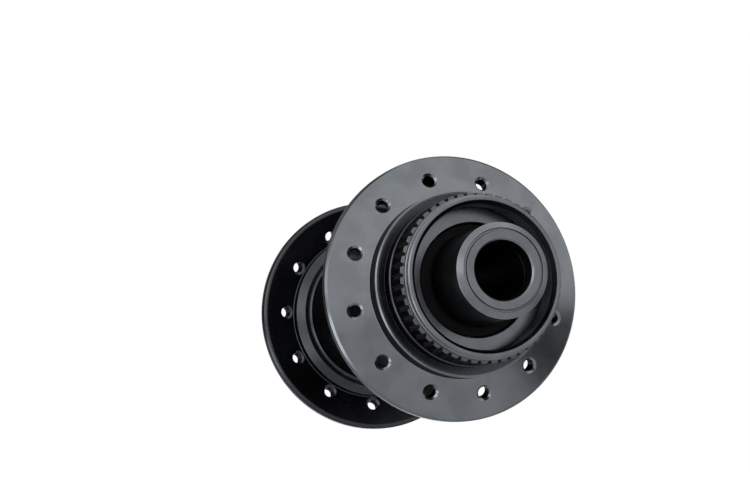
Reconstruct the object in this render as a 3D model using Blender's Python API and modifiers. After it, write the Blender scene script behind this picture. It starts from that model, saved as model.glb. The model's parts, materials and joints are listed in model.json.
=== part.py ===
"""Front disc-brake bicycle hub: shell, hollow axle, two sealed ball bearings and pull-off end caps.

Metres, +Z up. The axle lies along Y with the brake-disc side towards -Y, and the origin is
the middle of the axle, half way between the two faces that the fork closes on.
Turned pieces are drawn as (radius, axial place) profiles in millimetres, where the axial
place is the world Y coordinate, and are swept round the axle by a Screw modifier.
"""

import math

import bmesh
import bpy
from mathutils import Matrix, Vector

MM = 0.001

# Width between the fork's faces, and the 12 mm through-axle that slides into the hub.
OVER_LOCKNUT = 100.0
THRU_BORE_R = 6.1
HALF = OVER_LOCKNUT / 2

# Spoke flanges, dished so that each lies along its spokes: outer radius, axial thickness, rise
# of the outer face per millimetre towards the axle, and that face's axial place at the rim.
FLANGE_R = 29.0
FLANGE_T = 3.2
FLANGE_SLOPE = 0.3
LEFT_RIM = -21.8
RIGHT_RIM = 38.5
RIM_CHAMFER = 0.55
RIM_BACK_CHAMFER = 1.1

# Twelve spoke holes a side, the two sides half a pitch apart.
SPOKE_COUNT = 12
SPOKE_PITCH_R = 23.2
SPOKE_HOLE_R = 1.3
SPOKE_SINK_R = 1.75
LEFT_PHASE = 15.0
RIGHT_PHASE = 0.0

# Splined disc seat on the left end, and the lockring recess inside it. The disc slides over
# the teeth and the pilot, and stops against the shoulder.
SHOULDER_FACE = -28.6
SHOULDER_R = 20.0
PILOT_R = 18.0
SPLINE_START = -31.85
SPLINE_R = 17.75
SPLINE_ROOT_R = 17.15
SPLINE_TEETH = 50
SPLINE_END = -38.45
LIP_FACE = -40.4
RECESS_R = 15.25
RECESS_FLOOR = -34.4

# Barrel between the flanges, the ring at its right end, and the right boss.
BARREL_R = 17.0
BARREL_BORE_R = 14.4
RING_R = 20.7
RING_FACE = 35.3
RIGHT_BOSS_R = 17.0
RIGHT_END = 43.1

# Ball bearings, 15 x 24 x 5.
BEARING_BORE_R = 7.5
BEARING_R = 12.0
BEARING_W = 5.0
BALL_R = 1.0
BALL_COUNT = 14
BALL_PITCH_R = 9.75
RACE_LAND = 0.6
LEFT_BEARING = -28.9
RIGHT_BEARING = 36.1

# End caps.
CAP_R = 9.76
CAP_FACE_R = 8.3
CAP_BEVEL = 0.9
CAP_WEB = 4.1
SHIELD_R = 11.8

# Gaps that keep neighbouring solids apart: round a shaft or seat, and face to face.
FIT = 0.1
FACE_GAP = 0.2

SHELL_STEPS = 40
HOLE_STEPS = 8
RING_STEPS = 28
SEAL_STEPS = 28

ALLOY_BLACK = ("black_alloy", (0.022, 0.022, 0.025), 0.38, 0.9)
ALLOY_AXLE = ("axle_alloy", (0.05, 0.05, 0.055), 0.35, 0.9)
BEARING_STEEL = ("bearing_steel", (0.62, 0.62, 0.63), 0.22, 1.0)
BALL_STEEL = ("ball_steel", (0.72, 0.72, 0.73), 0.08, 1.0)
CAGE_NYLON = ("cage_nylon", (0.75, 0.70, 0.58), 0.5, 0.0)
SEAL_RUBBER = ("seal_rubber", (0.015, 0.015, 0.016), 0.6, 0.0)


def clear_scene():
    for thing in list(bpy.data.objects):
        bpy.data.objects.remove(thing, do_unlink=True)


def new_collection(name):
    collection = bpy.data.collections.new(name)
    bpy.context.scene.collection.children.link(collection)
    return collection


def material(spec):
    name, colour, roughness, metallic = spec
    made = bpy.data.materials.get(name)
    if made is None:
        made = bpy.data.materials.new(name)
        made.use_nodes = True
        shader = made.node_tree.nodes["Principled BSDF"]
        shader.inputs["Base Color"].default_value = (*colour, 1.0)
        shader.inputs["Roughness"].default_value = roughness
        shader.inputs["Metallic"].default_value = metallic
    return made


def add_object(name, mesh, spec):
    """A part on the axle: local Z is the axle, which the parent empty lays along world Y."""
    thing = bpy.data.objects.new(name, mesh)
    PARTS.objects.link(thing)
    thing.parent = AXIS
    mesh.materials.clear()
    mesh.materials.append(material(spec))
    return thing


def profile_mesh(name, points):
    """A closed (radius, axial) outline in millimetres, drawn at +X."""
    mesh = bpy.data.meshes.new(name)
    outline = bmesh.new()
    corners = [outline.verts.new((r * MM, 0.0, z * MM)) for r, z in points]
    for start, end in zip(corners, corners[1:] + corners[:1]):
        outline.edges.new((start, end))
    outline.to_mesh(mesh)
    outline.free()
    return mesh


def add_screw(thing, steps):
    screw = thing.modifiers.new("turn", "SCREW")
    screw.axis = "Z"
    screw.angle = math.tau
    screw.steps = steps
    screw.render_steps = steps
    screw.use_merge_vertices = True
    screw.merge_threshold = 0.00001
    screw.use_smooth_shade = True


def turned(name, points, steps, spec):
    """A turned piece. The outline runs down its outer side first, from high Y to low Y."""
    thing = add_object(name, profile_mesh(name, points), spec)
    add_screw(thing, steps)
    return thing


def mirrored(points, centre):
    """The same outline on the other side of an axial place, still wound the same way."""
    return [(r, 2 * centre - z) for r, z in reversed(points)]


def arc(centre_r, centre_z, radius, start, end, count):
    """Points of a round corner, by angle in degrees from the +radius direction towards +axial."""
    places = []
    for step in range(count + 1):
        angle = math.radians(start + (end - start) * step / count)
        places.append((centre_r + radius * math.cos(angle), centre_z + radius * math.sin(angle)))
    return places


def left_face(r):
    """Axial place of the left flange's outer face at a radius."""
    return LEFT_RIM - FLANGE_SLOPE * (FLANGE_R - r)


def right_face(r):
    """Axial place of the right flange's outer face at a radius."""
    return RIGHT_RIM + FLANGE_SLOPE * (FLANGE_R - r)


def shell_outline():
    """The hub shell, down the outside from the right end to the lip, then back up the bore."""
    rim_front = FLANGE_R - RIM_CHAMFER
    rim_back = FLANGE_R - RIM_BACK_CHAMFER
    root_r = BARREL_R + 2.0
    collar_r = SPLINE_ROOT_R - 0.05
    outside = [
        (RIGHT_BOSS_R - 0.5, RIGHT_END),
        (RIGHT_BOSS_R, RIGHT_END - 0.5),
        (RIGHT_BOSS_R, right_face(RIGHT_BOSS_R) + 0.3),
        (RIGHT_BOSS_R + 0.4, right_face(RIGHT_BOSS_R + 0.4)),
        (rim_front, right_face(rim_front)),
        (FLANGE_R, RIGHT_RIM - RIM_CHAMFER),
        (FLANGE_R, RIGHT_RIM - FLANGE_T + RIM_BACK_CHAMFER),
        (rim_back, right_face(rim_back) - FLANGE_T),
        (RING_R, right_face(RING_R) - FLANGE_T),
        (RING_R, RING_FACE),
        (RING_R - 2.0, RING_FACE - 1.2),
    ]
    outside += arc(BARREL_R + 1.5, RING_FACE - 2.7, 1.5, 90, 180, 3)
    outside += arc(root_r, left_face(root_r) + FLANGE_T + 2.0, 2.0, 180, 270, 3)
    outside += [
        (rim_back, left_face(rim_back) + FLANGE_T),
        (FLANGE_R, LEFT_RIM + FLANGE_T - RIM_BACK_CHAMFER),
        (FLANGE_R, LEFT_RIM + RIM_CHAMFER),
        (rim_front, left_face(rim_front)),
    ]
    outside += [
        (SHOULDER_R, left_face(SHOULDER_R)),
        (SHOULDER_R, SHOULDER_FACE + 0.3),
        (SHOULDER_R - 0.3, SHOULDER_FACE),
        (PILOT_R, SHOULDER_FACE),
        (PILOT_R, SPLINE_START + 0.25),
        (SPLINE_R, SPLINE_START),
        (SPLINE_R, SPLINE_END + 0.65),
        (collar_r, SPLINE_END),
        (collar_r, LIP_FACE + 1.3),
        (collar_r - 0.15, LIP_FACE + 1.15),
        (collar_r - 0.65, LIP_FACE + 1.05),
        (collar_r - 0.65, LIP_FACE + 0.6),
        (collar_r - 0.3, LIP_FACE + 0.45),
        (collar_r - 0.3, LIP_FACE + 0.3),
        (collar_r - 0.6, LIP_FACE),
    ]
    left_seat = LEFT_BEARING + BEARING_W / 2 + FIT
    right_seat = RIGHT_BEARING - BEARING_W / 2 - FIT
    inside = [
        (RECESS_R + 0.95, LIP_FACE),
        (RECESS_R, LIP_FACE + 0.9),
        (RECESS_R, RECESS_FLOOR - 0.8),
        (RECESS_R + 0.35, RECESS_FLOOR - 0.6),
        (RECESS_R + 0.35, RECESS_FLOOR),
        (BEARING_R + 0.4, RECESS_FLOOR),
        (BEARING_R, RECESS_FLOOR + 0.4),
        (BEARING_R, left_seat),
        (BEARING_R - 1.0, left_seat),
        (BEARING_R - 1.0, left_seat + 2.5),
        (BARREL_BORE_R, left_seat + 3.7),
        (BARREL_BORE_R, right_seat - 3.7),
        (BEARING_R - 1.0, right_seat - 2.5),
        (BEARING_R - 1.0, right_seat),
        (BEARING_R, right_seat),
        (BEARING_R, RIGHT_END - 0.4),
        (BEARING_R + 0.4, RIGHT_END),
    ]
    return outside + inside


def spoke_hole_cutter(name, face, phase):
    """Twelve countersunk holes, drilled square to one flange's dished outer face."""
    tilt = math.copysign(math.atan(FLANGE_SLOPE), face)
    middle = face - math.copysign(FLANGE_T / 2, face)
    half = FLANGE_T / 2 * math.cos(tilt)
    cutter = bmesh.new()
    for index in range(SPOKE_COUNT):
        angle = math.radians(phase + 360.0 / SPOKE_COUNT * index)
        turn = Matrix.Rotation(angle, 4, "Z")
        centre = Matrix.Translation(Vector((SPOKE_PITCH_R, 0.0, middle)) * MM)
        add_countersunk_pin(cutter, turn @ centre @ Matrix.Rotation(tilt, 4, "Y"), half)
    mesh = bpy.data.meshes.new(name)
    cutter.to_mesh(mesh)
    cutter.free()
    return add_cutter(name, mesh)


def add_countersunk_pin(cutter, place, half):
    """A pin along the Z of place, coned at both ends where it leaves a plate 2 * half thick."""
    narrow = half + SPOKE_HOLE_R - SPOKE_SINK_R
    reach = half + 0.25
    wide_r = SPOKE_HOLE_R + reach - narrow
    rings = []
    for r, z in ((wide_r, -reach), (SPOKE_HOLE_R, -narrow), (SPOKE_HOLE_R, narrow), (wide_r, reach)):
        ring = []
        for step in range(HOLE_STEPS):
            angle = math.tau * step / HOLE_STEPS
            corner = Vector((r * math.cos(angle), r * math.sin(angle), z)) * MM
            ring.append(cutter.verts.new(place @ corner))
        rings.append(ring)
    for low, high in zip(rings, rings[1:]):
        for step in range(HOLE_STEPS):
            ahead = (step + 1) % HOLE_STEPS
            cutter.faces.new((low[step], low[ahead], high[ahead], high[step]))
    cutter.faces.new(reversed(rings[0]))
    cutter.faces.new(rings[-1])


def add_cutter(name, mesh):
    cutter = bpy.data.objects.new(name, mesh)
    CUTTERS.objects.link(cutter)
    cutter.parent = AXIS
    cutter.hide_render = True
    cutter.display_type = "WIRE"
    return cutter


def cut(thing, cutter):
    boolean = thing.modifiers.new(cutter.name, "BOOLEAN")
    boolean.operation = "DIFFERENCE"
    boolean.solver = "EXACT"
    boolean.object = cutter


def spline_outline():
    """The toothed ring outline round the axle: root, flank, crest, flank for each tooth."""
    pitch = math.tau / SPLINE_TEETH
    corners = []
    for tooth in range(SPLINE_TEETH):
        for share, radius in (
            (0.0, SPLINE_ROOT_R),
            (0.16, SPLINE_ROOT_R),
            (0.28, SPLINE_R + 0.4),
            (0.88, SPLINE_R + 0.4),
        ):
            angle = (tooth + share) * pitch
            corners.append((radius * math.cos(angle), radius * math.sin(angle)))
    return corners


def add_flat_spline(curve, corners):
    spline = curve.splines.new("POLY")
    spline.points.add(len(corners) - 1)
    for point, (x, y) in zip(spline.points, corners):
        point.co = (x * MM, y * MM, 0.0, 1.0)
    spline.use_cyclic_u = True


def spline_cutter():
    """A flat ring whose inside is toothed: it leaves the teeth standing and cuts the rest."""
    curve = bpy.data.curves.new("spline_gaps", "CURVE")
    curve.dimensions = "2D"
    curve.fill_mode = "BOTH"
    length = SPLINE_START - SPLINE_END + 0.1
    curve.extrude = length / 2 * MM
    add_flat_spline(curve, spline_outline())
    clear_r = SPLINE_R + 2.5
    around = [math.tau * step / SHELL_STEPS for step in range(SHELL_STEPS)]
    add_flat_spline(curve, [(clear_r * math.cos(a), clear_r * math.sin(a)) for a in around])
    drawn = bpy.data.objects.new("spline_curve", curve)
    CUTTERS.objects.link(drawn)
    mesh = bpy.data.meshes.new_from_object(drawn.evaluated_get(bpy.context.evaluated_depsgraph_get()))
    bpy.data.objects.remove(drawn)
    solid = bmesh.new()
    solid.from_mesh(mesh)
    bmesh.ops.remove_doubles(solid, verts=solid.verts, dist=0.000001)
    bmesh.ops.recalc_face_normals(solid, faces=solid.faces)
    bmesh.ops.translate(solid, verts=solid.verts, vec=(0, 0, (SPLINE_START - length / 2) * MM))
    solid.to_mesh(mesh)
    solid.free()
    return add_cutter("spline_gaps", mesh)


def build_shell():
    shell = turned("hub_shell", shell_outline(), SHELL_STEPS, ALLOY_BLACK)
    cut(shell, spline_cutter())
    cut(shell, spoke_hole_cutter("left_spoke_holes", left_face(SPOKE_PITCH_R), LEFT_PHASE))
    cut(shell, spoke_hole_cutter("right_spoke_holes", right_face(SPOKE_PITCH_R), RIGHT_PHASE))


def build_axle():
    """The hollow axle: a thick middle between the bearings, thin ends that the caps fit over."""
    end = HALF - CAP_WEB - FACE_GAP
    journal = BEARING_BORE_R
    shoulder = 8.7
    bore = THRU_BORE_R + 0.1
    right = RIGHT_BEARING - BEARING_W / 2 - FACE_GAP
    left = LEFT_BEARING + BEARING_W / 2 + FACE_GAP
    outline = [
        (journal - 0.3, end),
        (journal, end - 0.3),
        (journal, right),
        (shoulder, right),
        (shoulder, left),
        (journal, left),
        (journal, -end + 0.3),
        (journal - 0.3, -end),
        (bore, -end),
        (bore, end),
    ]
    turned("axle_tube", outline, RING_STEPS, ALLOY_AXLE)


def inner_race_outline(centre):
    half = BEARING_W / 2
    land = BALL_PITCH_R - RACE_LAND
    groove = BALL_PITCH_R - BALL_R - 0.1
    bore = BEARING_BORE_R + FIT
    return [
        (land, centre + half),
        (land, centre + 0.9),
        (groove, centre + 0.4),
        (groove, centre - 0.4),
        (land, centre - 0.9),
        (land, centre - half),
        (bore, centre - half),
        (bore, centre + half),
    ]


def outer_race_outline(centre):
    half = BEARING_W / 2
    land = BALL_PITCH_R + RACE_LAND
    groove = BALL_PITCH_R + BALL_R + 0.1
    rebate = 11.15
    outside = BEARING_R - FIT
    return [
        (outside, centre + half),
        (outside, centre - half),
        (rebate, centre - half),
        (rebate, centre - 1.65),
        (land, centre - 1.65),
        (land, centre - 0.9),
        (groove, centre - 0.4),
        (groove, centre + 0.4),
        (land, centre + 0.9),
        (land, centre + 1.65),
        (rebate, centre + 1.65),
        (rebate, centre + half),
    ]


def seal_outline(centre, side):
    """A flat rubber seal in the outer race's rebate, its lip just clear of the inner race."""
    near = centre + side * 1.75
    far = centre + side * 2.3
    high, low = max(near, far), min(near, far)
    lip = BALL_PITCH_R - RACE_LAND + FIT
    return [(11.05, high), (11.05, low), (lip, low), (lip, high)]


def build_cage(name, centre, side):
    """A nylon crown cage: a ring with one open pocket for each ball."""
    base = centre + side * 1.55
    crown = centre - side * 0.6
    high, low = max(base, crown), min(base, crown)
    outline = [(10.2, high), (10.2, low), (9.3, low), (9.3, high)]
    cage = turned(name, outline, 2 * BALL_COUNT, CAGE_NYLON)
    pockets = bmesh.new()
    for index in range(BALL_COUNT):
        turn = Matrix.Rotation(math.tau * index / BALL_COUNT, 4, "Z")
        place = turn @ Matrix.Translation((BALL_PITCH_R * MM, 0, centre * MM))
        bmesh.ops.create_cone(
            pockets,
            cap_ends=True,
            segments=10,
            radius1=1.14 * MM,
            radius2=1.14 * MM,
            depth=3.0 * MM,
            matrix=place @ Matrix.Rotation(math.pi / 2, 4, "Y"),
        )
    mesh = bpy.data.meshes.new(name + "_pockets")
    pockets.to_mesh(mesh)
    pockets.free()
    cut(cage, add_cutter(name + "_pockets", mesh))


def ball_mesh(name):
    mesh = bpy.data.meshes.new(name)
    ball = bmesh.new()
    bmesh.ops.create_icosphere(ball, subdivisions=2, radius=BALL_R * MM)
    ball.to_mesh(mesh)
    ball.free()
    mesh.shade_smooth()
    return mesh


def build_bearing(side_name, centre, outboard):
    turned(side_name + "_inner_race", inner_race_outline(centre), RING_STEPS, BEARING_STEEL)
    turned(side_name + "_outer_race", outer_race_outline(centre), RING_STEPS, BEARING_STEEL)
    turned(side_name + "_outer_seal", seal_outline(centre, outboard), SEAL_STEPS, SEAL_RUBBER)
    turned(side_name + "_inner_seal", seal_outline(centre, -outboard), SEAL_STEPS, SEAL_RUBBER)
    build_cage(side_name + "_ball_cage", centre, outboard)
    shared = ball_mesh(side_name + "_ball")
    for index in range(BALL_COUNT):
        angle = math.tau * index / BALL_COUNT
        ball = add_object(f"{side_name}_ball_{index + 1:02d}", shared, BALL_STEEL)
        ball.location = (
            BALL_PITCH_R * math.cos(angle) * MM,
            BALL_PITCH_R * math.sin(angle) * MM,
            centre * MM,
        )


def cap_outline(race_face, ring_place):
    """A right-hand end cap: bored for the through-axle, counterbored to slip over the axle tube."""
    counterbore = BEARING_BORE_R + FIT
    foot = race_face + FACE_GAP
    bevel_start = HALF - CAP_BEVEL
    groove_r = counterbore + 0.8
    return [
        (CAP_FACE_R, HALF),
        (CAP_R, bevel_start),
        (CAP_R - 0.15, foot + 3.6),
        (SHIELD_R, foot + 2.0),
        (SHIELD_R, foot + 1.2),
        (BALL_PITCH_R - RACE_LAND - 0.2, foot + 0.7),
        (BALL_PITCH_R - RACE_LAND - 0.2, foot),
        (counterbore, foot),
        (counterbore, ring_place - 0.5),
        (groove_r, ring_place - 0.5),
        (groove_r, ring_place + 0.5),
        (counterbore, ring_place + 0.5),
        (counterbore, HALF - CAP_WEB),
        (THRU_BORE_R, HALF - CAP_WEB),
        (THRU_BORE_R, HALF - 0.4),
        (THRU_BORE_R + 0.4, HALF),
    ]


def o_ring_outline(ring_place):
    cord_r = 0.36
    centre_r = BEARING_BORE_R + 0.05 + cord_r
    return arc(centre_r, ring_place, cord_r, 60, -240, 5)


def build_caps():
    right_race = RIGHT_BEARING + BEARING_W / 2
    left_race = -LEFT_BEARING + BEARING_W / 2
    right_ring = right_race + 3.6
    left_ring = left_race + 5.6
    right = cap_outline(right_race, right_ring)
    left = mirrored(cap_outline(left_race, left_ring), 0.0)
    turned("right_end_cap", right, RING_STEPS, ALLOY_BLACK)
    turned("left_end_cap", left, RING_STEPS, ALLOY_BLACK)
    turned("right_cap_o_ring", o_ring_outline(right_ring), RING_STEPS, SEAL_RUBBER)
    turned("left_cap_o_ring", mirrored(o_ring_outline(left_ring), 0.0), RING_STEPS, SEAL_RUBBER)


clear_scene()
PARTS = new_collection("front_hub")
CUTTERS = new_collection("cutters")
AXIS = bpy.data.objects.new("axle_axis", None)
PARTS.objects.link(AXIS)
AXIS.rotation_euler = (-math.pi / 2, 0.0, 0.0)

build_shell()
build_axle()
build_bearing("left", LEFT_BEARING, -1)
build_bearing("right", RIGHT_BEARING, 1)
build_caps()
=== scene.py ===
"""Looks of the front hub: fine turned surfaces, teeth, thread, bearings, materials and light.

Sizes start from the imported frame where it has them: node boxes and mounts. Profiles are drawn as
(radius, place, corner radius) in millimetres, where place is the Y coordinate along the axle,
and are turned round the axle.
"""

import json
import math

import bmesh
import bpy
from mathutils import Matrix, Vector


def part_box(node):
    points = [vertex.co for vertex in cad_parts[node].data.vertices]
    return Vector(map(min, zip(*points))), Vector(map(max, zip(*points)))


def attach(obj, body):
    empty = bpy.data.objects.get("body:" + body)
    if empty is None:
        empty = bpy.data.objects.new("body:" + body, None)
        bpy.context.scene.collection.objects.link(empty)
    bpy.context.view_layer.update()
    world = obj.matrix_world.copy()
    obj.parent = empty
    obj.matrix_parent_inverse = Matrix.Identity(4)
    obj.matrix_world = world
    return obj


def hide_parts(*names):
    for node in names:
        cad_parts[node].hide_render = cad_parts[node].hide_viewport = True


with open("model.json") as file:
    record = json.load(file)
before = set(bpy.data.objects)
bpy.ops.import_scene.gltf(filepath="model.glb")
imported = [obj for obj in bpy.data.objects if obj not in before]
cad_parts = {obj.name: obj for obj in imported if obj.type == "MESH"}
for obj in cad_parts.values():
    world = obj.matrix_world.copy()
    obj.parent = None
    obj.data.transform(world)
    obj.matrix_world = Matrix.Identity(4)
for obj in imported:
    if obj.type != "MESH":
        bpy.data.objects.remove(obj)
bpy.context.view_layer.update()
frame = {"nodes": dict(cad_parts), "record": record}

MM = 0.001
MOUNTS = {mount["name"]: mount for mount in frame["record"]["mounts"]}


def place_of(mount):
    """Axial place of a mount's face, in millimetres."""
    return MOUNTS[mount]["pos_m"][1] / MM


def box_mm(node):
    """Outer radius, lowest place and highest place of a node, in millimetres."""
    low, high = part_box(node)
    return high.x / MM, low.y / MM, high.y / MM


def rim_place(mount, side):
    """Where a dished flange's outer face would meet its rim, from a point on one of its facets."""
    x, y, z = (value / MM for value in MOUNTS[mount]["pos_m"])
    r = math.hypot(x, z) / FACET_SHARE
    return y - side * FLANGE_SLOPE * (FLANGE_R - r)


FLANGE_SLOPE = 0.3
FACET_SHARE = math.cos(math.radians(4.5))
HALF = place_of("right_dropout_face")
SHOULDER_FACE = place_of("rotor_seat_face")
FLANGE_R, LIP_FACE, RIGHT_END = box_mm("hub_shell")
LEFT_RIM = rim_place("left_flange_face", -1)
RIGHT_RIM = rim_place("right_flange_face", 1)
CAP_SHIELD_R, _, LEFT_CAP_FOOT = box_mm("left_end_cap")
RIGHT_CAP_FOOT = box_mm("right_end_cap")[1]
AXLE_END = box_mm("axle_tube")[2]
LEFT_RACE = box_mm("left_outer_race")[1:]
RIGHT_RACE = box_mm("right_outer_race")[1:]
BEARING_W = RIGHT_RACE[1] - RIGHT_RACE[0]
BALL_R = (box_mm("left_ball_01")[2] - box_mm("left_ball_01")[1]) / 2
BALL_PITCH_R = sum(corner.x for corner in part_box("left_ball_01")) / 2 / MM
BALL_COUNT = sum(1 for name in frame["nodes"] if name.startswith("left_ball_") and name[-1].isdigit())

FLANGE_T = 3.2
SPOKE_COUNT = 12
SPOKE_PITCH_R = 23.2
SPOKE_HOLE_R = 1.3
SPOKE_SINK = 0.42
LEFT_PHASE = 15.0
RIGHT_PHASE = 0.0

SHOULDER_R = 20.0
PILOT_R = 18.0
SPLINE_R = 17.75
SPLINE_ROOT_R = 17.15
SPLINE_TEETH = 50
TOOTH_SHAPE = (
    (0.0, 0.05), (0.03, 0.0), (0.24, 0.0), (0.27, 0.05),
    (0.38, 0.75), (0.44, 1.0), (0.83, 1.0), (0.89, 0.75),
)
SPLINE_START = SHOULDER_FACE - 3.25
SPLINE_END = SHOULDER_FACE - 9.85
COLLAR_R = 17.1
RECESS_FLOOR = SHOULDER_FACE - 5.8
RECESS_R = 15.25
THREAD_PITCH = 1.0
THREAD_DEPTH = 0.5
BARREL_R = 17.0
BARREL_BORE_R = 14.4
RING_R = 20.7
RIGHT_BOSS_R = 17.0
BEARING_R = 12.0
SHELF_R = BEARING_R - 1.0
AXLE_R = 7.5
AXLE_WAIST_R = 8.7
THRU_R = 6.1
CAP_R = 9.76
CAP_FACE_R = 8.3
RACE_LAND = 0.6
RACE_REBATE_R = 11.15
CAGE_INNER_R, CAGE_OUTER_R = 9.3, 10.2
POCKET_R = 1.14

SHELL_STEPS = 200
CAP_STEPS = 160
RING_STEPS = 128
CAGE_STEPS = 168
HOLE_STEPS = 32

FLOOR_Z = -0.075
FRONT_LIGHT = 3.8
BACK_LIGHT = 0.7
LAMPS = (
    ((-0.90, -0.42, 0.1), 8.0),
    ((0.3, 0.0, 0.95), 5.0),
    ((0.92, 0.30, 0.1), 3.2),
)
LAMP_EDGE = (0.80, 0.95)
LENS_SHADE = (0.35, -0.93, 0.12)
LENS_SHADE_EDGE = (0.88, 0.99)
LENS_SHADE_DEPTH = 0.22
LOW_LAMP = 7.0
LOW_LAMP_PLACE = Vector((-0.22, -0.01, 0.0))
LOW_LAMP_EDGE = (0.10, 0.15)
FLAG_HEADING = (0.77, -0.64, 0.0)
FLAG_SIDE_EDGE = (0.91, 0.965)
FLAG_NEAR_EDGE = (0.17, 0.25)
FLAG_TOP_EDGE = (0.10, 0.01)
FLAG_FLOOR_DEPTH = 0.99
FLAG_WALL_DEPTH = 0.98
CAMERA_LENS = 67.2
CAMERA_PLACE = Vector((-106.1, -303.8, -38.4)) * MM
CAMERA_AIM = (math.radians(17.36), math.radians(8.79))


# --- profiles and turning ---------------------------------------------------------------------


def rounded(corners, per_arc=18.0):
    """Points of an outline whose corners (radius, place, corner radius) are rounded as arcs."""
    points = []
    for index, (r, y, corner_r) in enumerate(corners):
        here = Vector((r, y))
        if corner_r == 0:
            points.append((r, y))
            continue
        before = Vector(corners[index - 1][:2]) - here
        after = Vector(corners[(index + 1) % len(corners)][:2]) - here
        half = before.angle(after) / 2
        reach = corner_r / math.tan(half)
        limit = 0.49 * min(before.length, after.length)
        if reach > limit:
            reach = limit
            corner_r = reach * math.tan(half)
        inward = (before.normalized() + after.normalized()).normalized()
        centre = here + inward * (corner_r / math.sin(half))
        first = here + before.normalized() * reach - centre
        last = here + after.normalized() * reach - centre
        sweep = first.angle_signed(last)
        count = max(2, math.ceil(abs(math.degrees(sweep)) / per_arc))
        points += edge_support(here, before, reach)
        for step in range(count + 1):
            turned = first.copy()
            turned.rotate(Matrix.Rotation(-sweep * step / count, 2))
            points.append(tuple(centre + turned))
        points += edge_support(here, after, reach)
    return points


def edge_support(corner, side, reach):
    """A point just beyond an arc's end, so that the flat beside it is shaded flat."""
    room = side.length / 2 - reach
    if room < 0.08:
        return []
    return [tuple(corner + side.normalized() * (reach + min(0.06, room / 2)))]


def polar(r, y, angle):
    return Vector((r * math.cos(angle), y, r * math.sin(angle))) * MM


def lathe(points, steps, shape=None):
    """A bmesh turned round Y from closed (radius, place) points. shape(r, y, angle) bends r."""
    body = bmesh.new()
    rings = []
    for step in range(steps):
        angle = math.tau * step / steps
        ring = []
        for r, y in points:
            reach = shape(r, y, angle) if shape else r
            ring.append(body.verts.new(polar(reach, y, angle)))
        rings.append(ring)
    count = len(points)
    for ring, following in zip(rings, rings[1:] + rings[:1]):
        for index in range(count):
            ahead = (index + 1) % count
            body.faces.new((ring[index], following[index], following[ahead], ring[ahead]))
    bmesh.ops.recalc_face_normals(body, faces=body.faces)
    return body


def object_from(name, body):
    mesh = bpy.data.meshes.new(name)
    body.to_mesh(mesh)
    body.free()
    thing = bpy.data.objects.new(name, mesh)
    bpy.context.scene.collection.objects.link(thing)
    return thing


def smooth(thing, angle=28.0):
    thing.data.shade_smooth()
    thing.data.set_sharp_from_angle(angle=math.radians(angle))


def finish_piece(piece, node, body, slot, *materials):
    """Gives a piece its materials and its body, and hides its node in the frame. slot is not used."""
    for material in materials:
        piece.data.materials.append(material)
    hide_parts(node)
    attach(piece, body)


def subtract(thing, cutter):
    """Cuts cutter out of thing for good, and removes the cutter. Works at a thousand times the
    size, where the solver keeps its precision."""
    for each in (thing, cutter):
        each.data.transform(Matrix.Scale(1 / MM, 4))
    boolean = thing.modifiers.new("cut", "BOOLEAN")
    boolean.operation = "DIFFERENCE"
    boolean.solver = "EXACT"
    boolean.object = cutter
    view = bpy.context.evaluated_depsgraph_get()
    cut_mesh = bpy.data.meshes.new_from_object(thing.evaluated_get(view))
    thing.modifiers.clear()
    cut_mesh.transform(Matrix.Scale(MM, 4))
    thing.data = cut_mesh
    bpy.data.objects.remove(cutter)


def mirrored(corners):
    return [(r, -y, corner_r) for r, y, corner_r in reversed(corners)]


# --- materials --------------------------------------------------------------------------------


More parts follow.
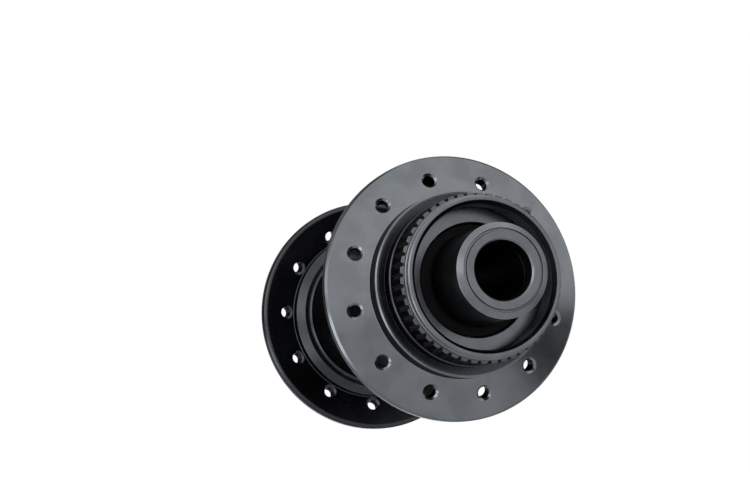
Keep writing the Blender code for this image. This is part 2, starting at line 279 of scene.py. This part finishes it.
class Nodes:
    """Short calls for wiring the shader nodes of a material or a world."""

    def __init__(self, owner):
        owner.use_nodes = True
        self.owner = owner
        self.tree = owner.node_tree
        self.shader = self.tree.nodes.get("Principled BSDF")

    def add(self, kind, settings=(), **inputs):
        node = self.tree.nodes.new("ShaderNode" + kind)
        for key, value in settings:
            setattr(node, key, value)
        for key, value in inputs.items():
            self.put(node.inputs[key.replace("_", " ")], value)
        return node

    def put(self, socket, value):
        if isinstance(value, bpy.types.NodeSocket):
            self.tree.links.new(value, socket)
        else:
            socket.default_value = value

    def math(self, operation, first, second=0.0, third=0.0):
        node = self.tree.nodes.new("ShaderNodeMath")
        node.operation = operation
        for socket, value in zip(node.inputs, (first, second, third)):
            self.put(socket, value)
        return node.outputs[0]

    def range(self, value, low, high, to_low, to_high):
        node = self.tree.nodes.new("ShaderNodeMapRange")
        node.interpolation_type = "SMOOTHSTEP"
        for socket, setting in zip(node.inputs, (value, low, high, to_low, to_high)):
            self.put(socket, setting)
        return node.outputs[0]

    def mix(self, share, first, second):
        node = self.tree.nodes.new("ShaderNodeMix")
        node.data_type = "RGBA"
        self.put(node.inputs["Factor"], share)
        self.put(node.inputs["A"], first)
        self.put(node.inputs["B"], second)
        return node.outputs["Result"]

    def noise(self, vector, scale, detail=3.0, roughness=0.55):
        node = self.add("TexNoise", Vector=vector, Scale=scale, Detail=detail, Roughness=roughness)
        return node.outputs[0]

    def object_place(self):
        return self.add("TexCoord").outputs["Object"]

    def turning_place(self):
        """(distance from the axle, place along it): the same all the way round a turned piece."""
        parts = self.add("SeparateXYZ", Vector=self.object_place())
        flat = self.add("CombineXYZ", X=parts.outputs[0], Z=parts.outputs[2])
        away = self.add("VectorMath", (("operation", "LENGTH"),))
        self.put(away.inputs[0], flat.outputs[0])
        return self.add("CombineXYZ", X=away.outputs["Value"], Y=parts.outputs[1]).outputs[0]

    def bump(self, height, strength, distance, normal=None):
        node = self.add("Bump", Strength=strength, Distance=distance, Height=height)
        if normal is not None:
            self.put(node.inputs["Normal"], normal)
        return node.outputs[0]

    def edge_wear_and_highlight(self, width):
        """1 where the surface turns sharply within width metres, and 0 on open surfaces; masks wear and
        painted highlight.
        """
        soft = self.add("Bevel", (("samples", 4),), Radius=width)
        plain = self.add("NewGeometry").outputs["Normal"]
        agree = self.add("VectorMath", (("operation", "DOT_PRODUCT"),))
        self.put(agree.inputs[0], soft.outputs[0])
        self.put(agree.inputs[1], plain)
        return self.range(agree.outputs["Value"], 0.985, 0.86, 0.0, 1.0)

    def facing(self, vector, direction):
        """How nearly a direction vector points one way: 1 when it does."""
        node = self.add("VectorMath", (("operation", "DOT_PRODUCT"),))
        self.put(node.inputs[0], vector)
        self.put(node.inputs[1], Vector(direction).normalized())
        return node.outputs["Value"]

    def flag_share(self, vector):
        """1 in the directions round the hub that the dark flag fills, and 0 away from them."""
        parts = self.add("SeparateXYZ", Vector=vector)
        flat = self.add("CombineXYZ", X=parts.outputs[0], Y=parts.outputs[1])
        level = self.add("VectorMath", (("operation", "NORMALIZE"),))
        self.put(level.inputs[0], flat.outputs[0])
        return self.range(self.facing(level.outputs["Vector"], FLAG_HEADING), *FLAG_SIDE_EDGE, 0.0, 1.0)

    def surface(self, **inputs):
        for key, value in inputs.items():
            self.put(self.shader.inputs[key.replace("_", " ")], value)
        return self.owner


def new_material(name):
    return Nodes(bpy.data.materials.new(name))


def colour(red, green, blue):
    return (red, green, blue, 1.0)


def anodised(name, tint, worn_and_lit_tint, gloss, turning, grain):
    """Black anodised aluminium: dyed oxide, faint tool marks or blasted grain, pale edges that are
    partly wear and partly painted highlight.
    """
    made = new_material(name)
    place = made.object_place()
    cloud = made.noise(place, 160.0, 4.0)
    fine = made.noise(place, 5200.0, 2.0)
    rings = made.noise(made.turning_place(), 6500.0, 3.0, 0.7)
    worn_and_lit_edges = made.edge_wear_and_highlight(0.00012)
    scuffs = made.range(made.noise(place, 900.0, 5.0, 0.7), 0.58, 0.72, 0.0, 1.0)
    # Pale edges: partly real wear and scuffs, partly a painted highlight where edges catch the light.
    worn_and_lit_share = made.math("MULTIPLY", worn_and_lit_edges, made.math("MULTIPLY_ADD", scuffs, 0.5, 0.28))
    darker = tuple(0.82 * channel for channel in tint)
    dyed = made.mix(made.range(cloud, 0.35, 0.65, 0.0, 1.0), colour(*darker), colour(*tint))
    base = made.mix(worn_and_lit_share, dyed, colour(*worn_and_lit_tint))
    rough = made.math("MULTIPLY_ADD", cloud, 0.07, gloss - 0.035)
    rough = made.math("MULTIPLY_ADD", fine, 0.05, rough)
    rough = made.math("MULTIPLY_ADD", rings, 0.05 if turning else 0.0, rough)
    normal = made.bump(fine, grain, 0.00002)
    if turning:
        normal = made.bump(rings, turning, 0.00001, normal)
    return made.surface(Base_Color=base, Metallic=1.0, Roughness=rough, Normal=normal,
                        Specular_Tint=colour(0.4, 0.4, 0.4))


def ground_steel(name, tint, gloss, lines):
    """Bearing steel with grinding lines that run round it."""
    made = new_material(name)
    rings = made.noise(made.turning_place(), 9000.0, 3.0, 0.7)
    cloud = made.noise(made.object_place(), 400.0, 4.0)
    stained = tuple(0.8 * channel for channel in tint)
    base = made.mix(made.range(cloud, 0.45, 0.75, 0.0, 1.0), colour(*tint), colour(*stained))
    rough = made.math("MULTIPLY_ADD", rings, 0.12, gloss)
    normal = made.bump(rings, lines, 0.00001)
    return made.surface(Base_Color=base, Metallic=1.0, Roughness=rough, Normal=normal)


def polished_ball():
    """Mirror-finished ball with a film of grease."""
    made = new_material("ball_steel")
    film = made.range(made.noise(made.object_place(), 1400.0, 4.0), 0.48, 0.62, 0.0, 1.0)
    base = made.mix(film, colour(0.72, 0.72, 0.74), colour(0.52, 0.49, 0.42))
    rough = made.math("MULTIPLY_ADD", film, 0.22, 0.05)
    return made.surface(Base_Color=base, Metallic=1.0, Roughness=rough)


def rubber(name, tint, gloss, sheen=0.4):
    """Moulded black nitrile rubber with a faint bloom."""
    made = new_material(name)
    place = made.object_place()
    bloom = made.range(made.noise(place, 700.0, 4.0), 0.45, 0.75, 0.0, 1.0)
    base = made.mix(bloom, colour(*tint), colour(*(1.9 * channel for channel in tint)))
    rough = made.math("MULTIPLY_ADD", bloom, 0.14, gloss)
    normal = made.bump(made.noise(place, 5000.0, 3.0), 0.35, 0.00003)
    return made.surface(Base_Color=base, Roughness=rough, Normal=normal, Specular_IOR_Level=sheen)


def moulded_nylon():
    """Ivory cage nylon, a little translucent, stained with grease."""
    made = new_material("cage_nylon")
    place = made.object_place()
    stain = made.range(made.noise(place, 500.0, 4.0), 0.5, 0.7, 0.0, 1.0)
    base = made.mix(stain, colour(0.72, 0.66, 0.52), colour(0.50, 0.42, 0.28))
    normal = made.bump(made.noise(place, 3500.0, 2.0), 0.25, 0.00004)
    return made.surface(Base_Color=base, Roughness=0.42, Normal=normal, Subsurface_Weight=0.15,
                        Subsurface_Scale=0.0006)


# Pale edge tint: partly real wear, partly painted highlight along the edges.
PALE_WORN_AND_LIT_EDGE = (0.26, 0.27, 0.28)
SATIN = anodised("black_anodised_satin", (0.056, 0.060, 0.065), PALE_WORN_AND_LIT_EDGE, 0.20, 0.0, 0.10)
TURNED = anodised("black_anodised_turned", (0.054, 0.058, 0.063), PALE_WORN_AND_LIT_EDGE, 0.24, 0.22, 0.05)
BORED = anodised("black_anodised_bore", (0.033, 0.035, 0.038), (0.13, 0.13, 0.14), 0.26, 0.25, 0.05)
# Painted shade: a darker copy of the black anodising, put on the barrel, the flanges' inner faces and
# rims, the disc seat's shoulder and pilot, and the tooth crests.
SHADED_ANODISED = anodised("black_anodised_painted_shade", (0.017, 0.018, 0.020), (0.08, 0.08, 0.09), 0.22, 0.15, 0.05)
AXLE = anodised("axle_anodised", (0.046, 0.048, 0.051), (0.23, 0.23, 0.24), 0.24, 0.25, 0.05)
RACE = ground_steel("bearing_steel", (0.56, 0.56, 0.57), 0.16, 0.2)
BALL = polished_ball()
CAGE = moulded_nylon()
SEAL = rubber("seal_rubber", (0.012, 0.012, 0.012), 0.5)
RING = rubber("o_ring_rubber", (0.016, 0.016, 0.016), 0.38)
# Painted shade: near black with almost no specular, on the end caps' shields and in the tooth gaps.
NEAR_BLACK_SHADE = rubber("near_black_painted_shade", (0.0012, 0.0012, 0.0013), 0.7, 0.04)
SHELL_COATS_AND_SHADES = (SATIN, TURNED, BORED, SHADED_ANODISED, NEAR_BLACK_SHADE)
CAP_COATS_AND_SHADES = (TURNED, NEAR_BLACK_SHADE)


# --- hub shell --------------------------------------------------------------------------------


def shell_corners():
    """Down the outside from the right end to the lip, then back up through the bore."""
    ring_face = RIGHT_RIM - FLANGE_T
    groove_r = COLLAR_R - 0.65
    left_seat = LEFT_RACE[1] + 0.1
    right_seat = RIGHT_RACE[0] - 0.1
    outside = [
        (RIGHT_BOSS_R, RIGHT_END, 0.5),
        (RIGHT_BOSS_R, right_face(RIGHT_BOSS_R), 0.4),
        (FLANGE_R, RIGHT_RIM, 0.4),
        (FLANGE_R, RIGHT_RIM - FLANGE_T, 1.0),
        (RING_R, right_face(RING_R) - FLANGE_T, 0.3),
        (RING_R, ring_face, 0.25),
        (RING_R - 2.0, ring_face - 1.2, 0.3),
        (BARREL_R, ring_face - 1.2, 1.4),
        (BARREL_R, left_face(BARREL_R) + FLANGE_T, 2.6),
        (FLANGE_R, LEFT_RIM + FLANGE_T, 1.0),
        (FLANGE_R, LEFT_RIM + 0.45, 0.1),
        (FLANGE_R - 0.45, left_face(FLANGE_R - 0.45), 0.1),
        (SHOULDER_R, left_face(SHOULDER_R), 0.12),
        (SHOULDER_R, SHOULDER_FACE + 0.35, 0.06),
        (SHOULDER_R - 0.3, SHOULDER_FACE + 0.05, 0.04),
        (SHOULDER_R - 0.4, SHOULDER_FACE + 0.05, 0.03),
        (SHOULDER_R - 0.42, SHOULDER_FACE + 0.3, 0.03),
        (SHOULDER_R - 0.56, SHOULDER_FACE + 0.3, 0.03),
        (SHOULDER_R - 0.6, SHOULDER_FACE, 0.06),
        (PILOT_R, SHOULDER_FACE, 0.03),
        (PILOT_R, SPLINE_START + 0.25, 0.04),
        (SPLINE_R, SPLINE_START, 0),
        (SPLINE_R, SPLINE_END + 0.32, 0),
        (COLLAR_R, SPLINE_END, 0.05),
        (COLLAR_R, LIP_FACE + 1.3, 0.05),
        (COLLAR_R - 0.15, LIP_FACE + 1.15, 0.05),
        (groove_r, LIP_FACE + 1.05, 0.08),
        (groove_r, LIP_FACE + 0.6, 0.08),
        (COLLAR_R - 0.3, LIP_FACE + 0.45, 0.05),
        (COLLAR_R - 0.3, LIP_FACE + 0.3, 0.08),
        (COLLAR_R - 0.6, LIP_FACE, 0.08),
    ]
    inside = [
        (RECESS_R + 0.6, LIP_FACE, 0.2),
        (RECESS_R, LIP_FACE + 0.9, 0),
        *((RECESS_R, y, 0) for y in thread_places()),
        (RECESS_R, RECESS_FLOOR - 0.8, 0),
        (RECESS_R + 0.35, RECESS_FLOOR - 0.6, 0),
        (RECESS_R + 0.35, RECESS_FLOOR, 0.12),
        (BEARING_R + 0.2, RECESS_FLOOR, 0.06),
        (BEARING_R, RECESS_FLOOR + 0.2, 0.06),
        (BEARING_R, left_seat, 0.1),
        (SHELF_R, left_seat, 0.15),
        (SHELF_R, left_seat + 2.5, 0.15),
        (BARREL_BORE_R, left_seat + 3.7, 0.3),
        (BARREL_BORE_R, right_seat - 3.7, 0.3),
        (SHELF_R, right_seat - 2.5, 0.15),
        (SHELF_R, right_seat, 0.15),
        (BEARING_R, right_seat, 0.1),
        (BEARING_R, RIGHT_END - 0.4, 0.08),
        (BEARING_R + 0.4, RIGHT_END, 0.08),
    ]
    return outside + inside


def left_face(r):
    """Axial place of the left flange's dished outer face at a radius."""
    return LEFT_RIM - FLANGE_SLOPE * (FLANGE_R - r)


def right_face(r):
    return RIGHT_RIM + FLANGE_SLOPE * (FLANGE_R - r)


def thread_places():
    """Places along the lockring thread, close enough to draw each turn."""
    start, end, step = LIP_FACE + 1.0, RECESS_FLOOR - 0.9, 0.1
    return [start + step * index for index in range(int((end - start) / step))]


def thread_shape(r, y, angle):
    """Bends the recess wall into a helical thread that fades out at both ends."""
    start, end = LIP_FACE + 0.9, RECESS_FLOOR - 0.8
    if abs(r - RECESS_R) > 0.001 or not start < y < end:
        return r
    turns = (y / THREAD_PITCH - angle / math.tau) % 1.0
    flank = min(1.0, max(-1.0, 5.0 * (abs(turns - 0.5) - 0.25)))
    fade = min(1.0, (y - start) / 0.3, (end - y) / 0.3)
    return r + THREAD_DEPTH / 2 * flank * fade


def hole_cutter(face, phase):
    """Twelve countersunk spoke holes, drilled square to one flange's dished outer face."""
    tilt = math.copysign(math.atan(FLANGE_SLOPE), face)
    middle = face - math.copysign(FLANGE_T / 2, face)
    half = FLANGE_T / 2 * math.cos(tilt)
    sink_r = SPOKE_HOLE_R + SPOKE_SINK
    side = [
        (SPOKE_HOLE_R, half - SPOKE_SINK),
        (sink_r, half - 0.05),
        (sink_r + 0.05, half - 0.012),
        (sink_r + 0.13, half + 0.004),
        (sink_r + 0.13, half + 0.25),
    ]
    outline = [(r, -height) for r, height in reversed(side)] + side
    cutter = bmesh.new()
    for index in range(SPOKE_COUNT):
        turn = Matrix.Rotation(math.radians(phase + 360.0 / SPOKE_COUNT * index), 4, "Y")
        centre = Matrix.Translation(Vector((SPOKE_PITCH_R, middle, 0.0)) * MM)
        add_pin(cutter, outline, turn @ centre @ Matrix.Rotation(-tilt, 4, "Z"), HOLE_STEPS)
    bmesh.ops.recalc_face_normals(cutter, faces=cutter.faces)
    return object_from("hole_cutter", cutter)


def add_pin(body, outline, place, steps):
    """A solid pin along the Y of place from an open (radius, height) outline, closed at each end."""
    rings = []
    for r, height in outline:
        ring = []
        for step in range(steps):
            angle = math.tau * step / steps
            corner = Vector((r * math.cos(angle), height, r * math.sin(angle))) * MM
            ring.append(body.verts.new(place @ corner))
        rings.append(ring)
    for low, high in zip(rings, rings[1:]):
        for step in range(steps):
            ahead = (step + 1) % steps
            body.faces.new((low[step], low[ahead], high[ahead], high[step]))
    body.faces.new(rings[0])
    body.faces.new(rings[-1])


def sharpen_hole_rims(shell):
    """Marks the edges where a countersink leaves a flange face, so that the face shades flat."""
    body = bmesh.new()
    body.from_mesh(shell.data)
    face_lean = math.cos(math.atan(FLANGE_SLOPE))
    for edge in body.edges:
        middle = (edge.verts[0].co + edge.verts[1].co) / 2
        near_holes = abs(math.hypot(middle.x, middle.z) / MM - SPOKE_PITCH_R) < 2 * SPOKE_HOLE_R
        if not near_holes or len(edge.link_faces) != 2:
            continue
        on_face = [abs(abs(face.normal.y) - face_lean) < 0.004 for face in edge.link_faces]
        if on_face[0] != on_face[1]:
            edge.smooth = False
    body.to_mesh(shell.data)
    body.free()


def spline_cutter():
    """A ring whose inside follows the teeth. TOOTH_SHAPE lists (share of the pitch, rise) from
    root to flank, crest and flank."""
    pitch = math.tau / SPLINE_TEETH
    beyond = SPLINE_R + 0.2
    inner = []
    for tooth in range(SPLINE_TEETH):
        for share, rise in TOOTH_SHAPE:
            angle = (tooth + share) * pitch
            r = SPLINE_ROOT_R + (beyond - SPLINE_ROOT_R) * rise
            inner.append((r, angle))
    ring = bmesh.new()
    levels = []
    for place in (SPLINE_END - 0.05, SPLINE_START):
        near = [ring.verts.new(polar(r, place, angle)) for r, angle in inner]
        far = [ring.verts.new(polar(SPLINE_R + 2.0, place, angle)) for r, angle in inner]
        levels.append((near, far))
    (near, far), (near_high, far_high) = levels
    for index in range(len(inner)):
        ahead = (index + 1) % len(inner)
        ring.faces.new((near[index], near[ahead], near_high[ahead], near_high[index]))
        ring.faces.new((far[ahead], far[index], far_high[index], far_high[ahead]))
        ring.faces.new((near[ahead], near[index], far[index], far[ahead]))
        ring.faces.new((near_high[index], near_high[ahead], far_high[ahead], far_high[index]))
    bmesh.ops.recalc_face_normals(ring, faces=ring.faces)
    return object_from("spline_cutter", ring)


def seat_coat_and_shade(r, y):
    """Coat of a face on the disc seat, with painted shade: darker shoulder, pilot and crests,
    near-black tooth gaps.
    """
    if y > SPLINE_START - 0.1:
        return SHADED_ANODISED if r < SHOULDER_R - 0.6 else TURNED
    if y < SPLINE_END + 0.3:
        return BORED if y > SPLINE_END else TURNED
    return NEAR_BLACK_SHADE if r < SPLINE_R - 0.15 else SHADED_ANODISED


def shell_coat_and_shade(r, y):
    """Coat of a face: satin outer faces, turned disc end and right boss, a darker bore, and painted
    shade on the barrel, the flanges' inner faces and rims and the disc seat.
    """
    if r < BEARING_R + 0.3 and y <= RIGHT_END - 0.6:
        return BORED
    in_recess = r < RECESS_R + 1.05 and y < RECESS_FLOOR + 0.2
    on_right_boss = r < RIGHT_BOSS_R + 0.1 and y > RIGHT_RIM
    if in_recess or on_right_boss:
        return TURNED
    if r < SHOULDER_R + 0.1 and y < left_face(SHOULDER_R) - 0.1:
        return seat_coat_and_shade(r, y)
    # Painted shade on the barrel and on the flanges' inner faces and rims.
    if r > BARREL_R - 0.2 and left_face(r) + 1.0 < y < right_face(r) - 0.6:
        return SHADED_ANODISED
    return SATIN


def paint_shell(shell):
    for face in shell.data.polygons:
        x, y, z = (value / MM for value in face.center)
        face.material_index = SHELL_COATS_AND_SHADES.index(shell_coat_and_shade(math.hypot(x, z), y))


def build_shell():
    shell = object_from("hub_shell_fine", lathe(rounded(shell_corners()), SHELL_STEPS, thread_shape))
    subtract(shell, spline_cutter())
    subtract(shell, hole_cutter(left_face(SPOKE_PITCH_R), LEFT_PHASE))
    subtract(shell, hole_cutter(right_face(SPOKE_PITCH_R), RIGHT_PHASE))
    smooth(shell)
    sharpen_hole_rims(shell)
    finish_piece(shell, "hub_shell", "shell", "black_alloy", *SHELL_COATS_AND_SHADES)
    paint_shell(shell)


# --- axle, caps and bearings ------------------------------------------------------------------


def build_axle():
    bore = THRU_R + 0.1
    right = RIGHT_RACE[0] - 0.2
    left = LEFT_RACE[1] + 0.2
    corners = [
        (AXLE_R, AXLE_END, 0.3),
        (AXLE_R, right, 0.12),
        (AXLE_WAIST_R, right, 0.15),
        (AXLE_WAIST_R, left, 0.15),
        (AXLE_R, left, 0.12),
        (AXLE_R, -AXLE_END, 0.3),
        (bore, -AXLE_END, 0.15),
        (bore, AXLE_END, 0.15),
    ]
    tube = object_from("axle_tube_fine", lathe(rounded(corners), CAP_STEPS))
    smooth(tube)
    finish_piece(tube, "axle_tube", "axle", "axle_alloy", AXLE)


def cap_corners(foot, ring_place):
    """A right-hand end cap: contact ring and bevel at the end, shield next to the bearing."""
    counterbore = AXLE_R + 0.1
    lip_r = BALL_PITCH_R - 0.8
    groove_r = counterbore + 0.8
    return [
        (CAP_FACE_R - 0.4, HALF, 0.06),
        (CAP_FACE_R - 0.3, HALF - 0.45, 0.1),
        (CAP_FACE_R + 0.1, HALF - 0.5, 0.1),
        (CAP_FACE_R + 0.2, HALF - 0.1, 0.06),
        (CAP_R, HALF - 0.9, 0.16),
        (CAP_R - 0.15, foot + 2.7, 0.4),
        (CAP_R + 0.3, foot + 2.1, 0.1),
        (CAP_SHIELD_R, foot + 2.0, 0.15),
        (CAP_SHIELD_R, foot + 1.2, 0.12),
        (lip_r, foot + 0.7, 0.15),
        (lip_r, foot, 0.08),
        (counterbore, foot, 0.1),
        (counterbore, ring_place - 0.5, 0.05),
        (groove_r, ring_place - 0.5, 0.1),
        (groove_r, ring_place + 0.5, 0.1),
        (counterbore, ring_place + 0.5, 0.05),
        (counterbore, AXLE_END + 0.2, 0.15),
        (THRU_R, AXLE_END + 0.2, 0.1),
        (THRU_R, HALF - 0.35, 0.06),
        (THRU_R + 0.35, HALF, 0.08),
    ]


def o_ring_points(place, centre_r=7.91, cord_r=0.36, count=24):
    angles = [math.tau * step / count for step in range(count)]
    return [(centre_r + cord_r * math.cos(a), place - cord_r * math.sin(a)) for a in angles]


def build_cap(side, foot, ring_place, flip):
    corners = cap_corners(foot, ring_place)
    sign = -1 if flip else 1
    points = rounded(mirrored(corners) if flip else corners)
    cap = object_from(f"{side}_end_cap_fine", lathe(points, CAP_STEPS))
    smooth(cap)
    finish_piece(cap, f"{side}_end_cap", f"{side}_cap", "black_alloy", *CAP_COATS_AND_SHADES)
    # Painted shade: the shield beyond the cap's flank gets the near-black shade.
    for face in cap.data.polygons:
        if math.hypot(face.center.x, face.center.z) > (CAP_R + 0.09) * MM:
            face.material_index = CAP_COATS_AND_SHADES.index(NEAR_BLACK_SHADE)
    ring = object_from(f"{side}_cap_o_ring_fine", lathe(o_ring_points(sign * ring_place), RING_STEPS))
    smooth(ring, 60.0)
    finish_piece(ring, f"{side}_cap_o_ring", f"{side}_cap", "seal_rubber", RING)


def race_corners(centre, inner):
    """Inner or outer race: a ring with a round ball track and, outside, rebates for the seals."""
    half = BEARING_W / 2
    side = -1 if inner else 1
    land = BALL_PITCH_R + side * RACE_LAND
    track_r = BALL_R + 0.1
    start = math.atan2(RACE_LAND, math.sqrt(track_r**2 - RACE_LAND**2))
    arc = [start + step / 10 * (math.pi - 2 * start) for step in range(11)]
    track = [
        (BALL_PITCH_R + side * track_r * math.sin(a), centre + track_r * math.cos(a), 0) for a in arc
    ]
    if inner:
        wall = AXLE_R + 0.1
        rim_high = [(wall, centre + half, 0.3), (land, centre + half, 0.1)]
        rim_low = [(land, centre - half, 0.1), (wall, centre - half, 0.3)]
    else:
        wall = BEARING_R - 0.1
        ledge = 1.65
        rim_high = [
            (wall, centre + half, 0.3),
            (RACE_REBATE_R, centre + half, 0.08),
            (RACE_REBATE_R, centre + ledge, 0.05),
            (land, centre + ledge, 0.08),
        ]
        rim_low = [
            (land, centre - ledge, 0.08),
            (RACE_REBATE_R, centre - ledge, 0.05),
            (RACE_REBATE_R, centre - half, 0.08),
            (wall, centre - half, 0.3),
        ]
    return rim_high + track + rim_low


def seal_corners(centre, side):
    """A moulded seal with a raised bead, a thin web and a lip by the inner race."""
    near = centre + side * 1.75
    far = centre + side * 2.3
    web = centre + side * 2.1
    lip_r = BALL_PITCH_R - 0.5
    rim_r = RACE_REBATE_R - 0.1
    return [
        (rim_r, near, 0.05),
        (rim_r, far, 0.15),
        (10.55, far, 0.08),
        (10.4, web, 0.08),
        (9.85, web, 0.08),
        (9.7, far, 0.08),
        (lip_r + 0.12, far, 0.08),
        (lip_r, near + side * 0.25, 0.05),
        (lip_r + 0.06, near, 0.05),
    ]


def build_cage(side, centre, outboard, body):
    base, crown = centre + outboard * 1.55, centre - outboard * 0.6
    corners = [
        (CAGE_OUTER_R, base, 0.1),
        (CAGE_OUTER_R, crown, 0.1),
        (CAGE_INNER_R, crown, 0.1),
        (CAGE_INNER_R, base, 0.1),
    ]
    cage = object_from(f"{side}_ball_cage_fine", lathe(rounded(corners), CAGE_STEPS))
    pockets = bmesh.new()
    for index in range(BALL_COUNT):
        turn = Matrix.Rotation(-math.tau * index / BALL_COUNT, 4, "Y")
        place = turn @ Matrix.Translation(Vector((BALL_PITCH_R, centre, 0)) * MM)
        bmesh.ops.create_cone(
            pockets, cap_ends=True, segments=32, radius1=POCKET_R * MM, radius2=POCKET_R * MM,
            depth=3.0 * MM, matrix=place @ Matrix.Rotation(math.pi / 2, 4, "Y"),
        )
    subtract(cage, object_from("pockets", pockets))
    smooth(cage)
    finish_piece(cage, f"{side}_ball_cage", body, "cage_nylon", CAGE)


def build_balls(side, body):
    for index in range(BALL_COUNT):
        node = f"{side}_ball_{index + 1:02d}"
        low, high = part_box(node)
        ball = bmesh.new()
        centre = Matrix.Translation((low + high) / 2)
        bmesh.ops.create_uvsphere(ball, u_segments=32, v_segments=20, radius=BALL_R * MM, matrix=centre)
        piece = object_from(node + "_fine", ball)
        piece.data.shade_smooth()
        finish_piece(piece, node, body, "ball_steel", BALL)


def build_bearing(side, span, outboard):
    centre = sum(span) / 2
    for name, inner, body in (("inner_race", True, "axle"), ("outer_race", False, "shell")):
        outline = rounded(race_corners(centre, inner))
        race = object_from(f"{side}_{name}_fine", lathe(outline, RING_STEPS))
        smooth(race)
        finish_piece(race, f"{side}_{name}", body, "bearing_steel", RACE)
    for name, facing in (("outer_seal", outboard), ("inner_seal", -outboard)):
        outline = rounded(seal_corners(centre, facing))
        seal = object_from(f"{side}_{name}_fine", lathe(outline, RING_STEPS))
        smooth(seal, 50.0)
        finish_piece(seal, f"{side}_{name}", "shell", "seal_rubber", SEAL)
    build_cage(side, centre, outboard, f"{side}_cage")
    build_balls(side, f"{side}_cage")


# --- floor, light and camera ------------------------------------------------------------------


def floor_distance(paint, place):
    """Distance on the floor from a place given relative to the hub's middle."""
    away = paint.add("VectorMath", (("operation", "DISTANCE"),))
    paint.put(away.inputs[0], paint.object_place())
    paint.put(away.inputs[1], place + Vector((0.0, 0.0, FLOOR_Z)))
    return away.outputs["Value"]


def build_floor():
    """A pale floor just under the hub, seen from above only. Reflections find two soft patches on
    it: a dark flag, which shades the flange's lower right, and a lamp at the left."""
    floor = bmesh.new()
    bmesh.ops.create_grid(floor, x_segments=1, y_segments=1, size=6.0)
    bmesh.ops.translate(floor, verts=floor.verts, vec=(0, 0, FLOOR_Z))
    piece = object_from("floor", floor)
    paint = new_material("pale_floor")
    tone = paint.noise(paint.object_place(), 12.0, 4.0)
    reflected = paint.add("LightPath").outputs["Is Glossy Ray"]
    flag = paint.range(floor_distance(paint, Vector()), *FLAG_NEAR_EDGE, 0.0, FLAG_FLOOR_DEPTH)
    flag = paint.math("MULTIPLY", flag, paint.flag_share(paint.object_place()))
    flag = paint.math("MULTIPLY", flag, reflected)
    pale = paint.mix(tone, colour(0.84, 0.85, 0.86), colour(0.88, 0.89, 0.90))
    shown = paint.mix(flag, pale, colour(0.0, 0.0, 0.0))
    paint.surface(Base_Color=shown, Roughness=0.6, Specular_IOR_Level=0.2)
    clear = paint.add("BsdfTransparent")
    under = paint.add("NewGeometry").outputs["Backfacing"]
    lamp = paint.range(floor_distance(paint, LOW_LAMP_PLACE), *LOW_LAMP_EDGE, LOW_LAMP, 0.0)
    lamp = paint.math("MULTIPLY", lamp, reflected)
    paint.surface(Emission_Color=colour(1.0, 1.0, 1.0), Emission_Strength=lamp)
    either = paint.add("MixShader")
    paint.put(either.inputs[0], under)
    paint.put(either.inputs[1], paint.shader.outputs[0])
    paint.put(either.inputs[2], clear.outputs[0])
    paint.put(paint.tree.nodes["Material Output"].inputs["Surface"], either.outputs[0])
    piece.data.materials.append(paint.owner)


def build_world():
    """A white studio as reflections see it: a broad soft light in front, brighter lamps at the
    left, above and at the right, a slight dip where a lens would stand, and the dark flag."""
    world = bpy.data.worlds.new("studio")
    bpy.context.scene.world = world
    light = Nodes(world)
    towards = light.add("SeparateXYZ", Vector=light.add("TexCoord").outputs["Generated"])
    heading = towards.inputs[0].links[0].from_socket
    front = light.range(towards.outputs[1], 0.15, -0.15, 0.0, 1.0)
    glow = light.math("MULTIPLY_ADD", front, FRONT_LIGHT - BACK_LIGHT, BACK_LIGHT)
    for direction, strength in LAMPS:
        share = light.range(light.facing(heading, direction), *LAMP_EDGE, 0.0, 1.0)
        glow = light.math("MAXIMUM", glow, light.math("MULTIPLY", share, strength))
    dip = light.range(light.facing(heading, LENS_SHADE), *LENS_SHADE_EDGE, 0.0, LENS_SHADE_DEPTH)
    glow = light.math("MULTIPLY", glow, light.math("SUBTRACT", 1.0, dip))
    flag = light.range(towards.outputs[2], *FLAG_TOP_EDGE, 0.0, FLAG_WALL_DEPTH)
    flag = light.math("MULTIPLY", flag, light.flag_share(heading))
    glow = light.math("MULTIPLY", glow, light.math("SUBTRACT", 1.0, flag))
    seen = light.add("LightPath").outputs["Is Camera Ray"]
    plain = light.math("MULTIPLY_ADD", seen, light.math("SUBTRACT", 1.0, glow), glow)
    background = world.node_tree.nodes["Background"]
    background.inputs["Color"].default_value = colour(1.0, 1.0, 1.0)
    light.put(background.inputs["Strength"], plain)


def build_camera():
    """Low on the disc side, left of the axle, looking up a little, with a short telephoto lens."""
    camera = bpy.data.objects.new("camera", bpy.data.cameras.new("camera"))
    bpy.context.scene.collection.objects.link(camera)
    camera.data.lens = CAMERA_LENS
    camera.data.sensor_width = 36.0
    camera.data.clip_start = 0.01
    camera.location = CAMERA_PLACE
    azimuth, elevation = CAMERA_AIM
    camera.rotation_euler = (math.pi / 2 + elevation, 0.0, -azimuth)
    bpy.context.scene.camera = camera


build_shell()
build_axle()
build_cap("left", -LEFT_CAP_FOOT, -LEFT_CAP_FOOT + 5.4, True)
build_cap("right", RIGHT_CAP_FOOT, RIGHT_CAP_FOOT + 3.4, False)
build_bearing("left", LEFT_RACE, -1)
build_bearing("right", RIGHT_RACE, 1)
build_floor()
build_world()
build_camera()
bpy.context.scene.view_settings.view_transform = "Standard"
